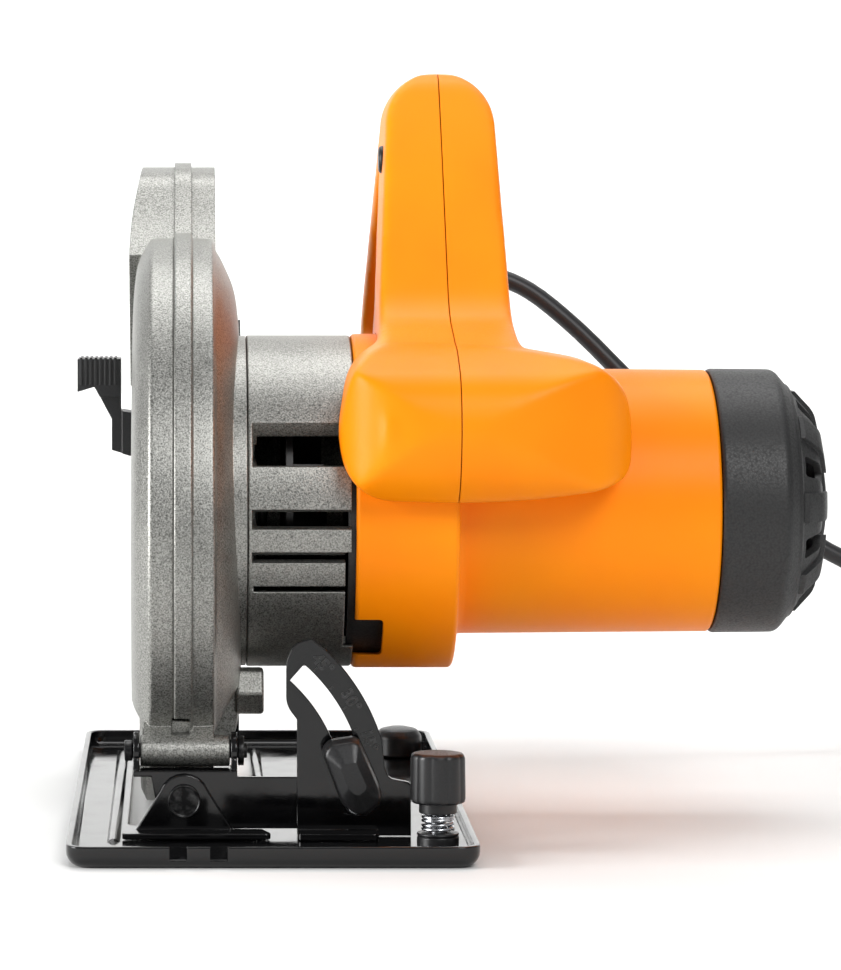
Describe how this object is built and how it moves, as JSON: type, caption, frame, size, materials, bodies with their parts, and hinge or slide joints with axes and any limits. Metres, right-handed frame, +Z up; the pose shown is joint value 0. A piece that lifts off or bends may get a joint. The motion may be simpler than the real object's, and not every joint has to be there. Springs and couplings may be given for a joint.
{
  "type": "circular_saw",
  "caption": "Corded hand-held circular saw with a tilting base plate, a cast blade guard, a sprung lower guard and an orange D handle, raised to zero depth of cut",
  "frame": {"origin": "centre of the base plate's underside, where the saw stands on its sole", "axes": "+X from the blade to the motor, +Y to the rear (the saw cuts towards -Y), +Z up"},
  "size_m": [0.4675, 0.3176, 0.2588],
  "materials": {
    "black_enamel": "semi-gloss baked enamel on pressed steel",
    "cast_aluminium": "bead-blasted die casting with a fine grain",
    "orange_plastic": "moulded nylon with a fine satin texture",
    "black_plastic": "moulded nylon, fine spark texture",
    "blade_steel": "ground and brushed",
    "plated_steel": "bright zinc plated fasteners",
    "turned_steel": "turned and ground",
    "copper": "bare copper and brass",
    "laminations": "stacked electrical steel",
    "carbon": "pressed carbon",
    "cord_rubber": "smooth satin rubber sheath"
  },
  "bodies": {
    "base": {"base_plate": "black_enamel", "front_pivot_bracket": "black_enamel", "bevel_quadrant": "black_enamel", "rear_pivot_bracket": "black_enamel", "fence_boss": "black_plastic", "rear_boss": "black_plastic", "fence_spring": "plated_steel", "cord_lower": "cord_rubber", "cord_coil": "cord_rubber", "mains_plug": "cord_rubber"},
    "tilt_frame": {"front_tilt_bracket": "black_enamel", "depth_arc": "black_enamel", "bevel_rivet_front": "black_enamel", "bevel_rivet_rear": "black_enamel", "depth_hinge_pin": "plated_steel", "depth_hinge_nut": "turned_steel", "bevel_lock_bolt": "plated_steel"},
    "saw": {"upper_guard": "cast_aluminium", "gear_housing": "cast_aluminium", "motor_housing": "orange_plastic", "end_cap": "black_plastic", "handle_left": "orange_plastic", "handle_right": "orange_plastic", "handle_screw_1": "turned_steel", "handle_screw_2": "turned_steel", "handle_screw_3": "turned_steel", "strain_relief": "cord_rubber", "cord_upper": "cord_rubber", "stator": "laminations", "rear_bearing_bracket": "black_plastic", "brush_holder_front": "copper", "brush_holder_rear": "copper", "carbon_brush_front": "carbon", "carbon_brush_rear": "carbon", "switch_body": "black_plastic", "front_motor_bearing": "turned_steel", "rear_motor_bearing": "turned_steel", "spindle_bearing": "turned_steel", "spindle_bush": "copper", "guard_return_spring": "turned_steel", "depth_lock_bolt": "plated_steel"},
    "spindle": {"spindle": "turned_steel", "output_gear": "turned_steel", "inner_flange": "turned_steel", "blade": "blade_steel", "outer_flange": "turned_steel", "blade_bolt": "plated_steel"},
    "armature": {"armature_shaft": "turned_steel", "armature_core": "laminations", "commutator": "copper", "cooling_fan": "black_plastic"},
    "lower_guard": {"lower_guard": "cast_aluminium", "lower_guard_lever": "black_plastic"},
    "bevel_lever": {"bevel_lock_lever": "black_plastic"},
    "depth_lever": {"depth_lock_lever": "black_plastic"},
    "fence_screw": {"fence_screw": "plated_steel", "fence_knob": "black_plastic"},
    "trigger": {"trigger": "black_plastic"},
    "lock_off_button": {"lock_off_button": "black_plastic"},
    "spindle_lock": {"spindle_lock_button": "black_plastic"}
  },
  "joints": [
    {"name": "bevel_tilt", "type": "hinge", "parent": "base", "child": "tilt_frame", "pos_m": [-0.0285, 0, 0.0139], "axis": [0, -1, 0], "range_deg": [0, 45]},
    {"name": "depth_swing", "type": "hinge", "parent": "tilt_frame", "child": "saw", "pos_m": [-0.0304, -0.076, 0.029], "axis": [1, 0, 0], "range_deg": [-40, 0]},
    {"name": "spindle_spin", "type": "hinge", "parent": "saw", "child": "spindle", "pos_m": [-0.0304, 0.00708, 0.098], "axis": [1, 0, 0], "continuous": true},
    {"name": "armature_spin", "type": "hinge", "parent": "saw", "child": "armature", "pos_m": [-0.0304, -0.02087, 0.1089], "axis": [1, 0, 0], "continuous": true},
    {"name": "lower_guard_swing", "type": "hinge", "parent": "saw", "child": "lower_guard", "pos_m": [-0.0304, 0.00708, 0.098], "axis": [1, 0, 0], "range_deg": [0, 110], "stiffness_Nm_per_rad": 0.25, "springref_deg": -45.84},
    {"name": "bevel_lever_turn", "type": "hinge", "parent": "tilt_frame", "child": "bevel_lever", "pos_m": [0.0283, -0.088, 0.0139], "axis": [0, -1, 0], "range_deg": [0, 70]},
    {"name": "depth_lever_turn", "type": "hinge", "parent": "saw", "child": "depth_lever", "pos_m": [-0.0073, 0.08373, 0.14936], "axis": [1, 0, 0], "range_deg": [0, 60]},
    {"name": "fence_screw_turn", "type": "hinge", "parent": "base", "child": "fence_screw", "pos_m": [0.0545, -0.11, 0.0023], "axis": [0, 0, 1], "range_deg": [0, 360]},
    {"name": "trigger_press", "type": "hinge", "parent": "saw", "child": "trigger", "pos_m": [0.0629, -0.00502, 0.17922], "axis": [1, 0, 0], "range_deg": [0, 12], "stiffness_Nm_per_rad": 0.8, "springref_deg": -8.59},
    {"name": "lock_off_press", "type": "slide", "parent": "saw", "child": "lock_off_button", "axis": [1, 0, 0], "range_m": [0, 0.003], "stiffness_N_per_m": 800, "springref_m": -0.001},
    {"name": "spindle_lock_press", "type": "slide", "parent": "saw", "child": "spindle_lock", "axis": [-1, 0, 0], "range_m": [0, 0.003], "stiffness_N_per_m": 800, "springref_m": -0.001}
  ],
  "couplings": [
    {"joint": "armature_spin", "follows": "spindle_spin", "ratio": -4.2727}
  ]
}
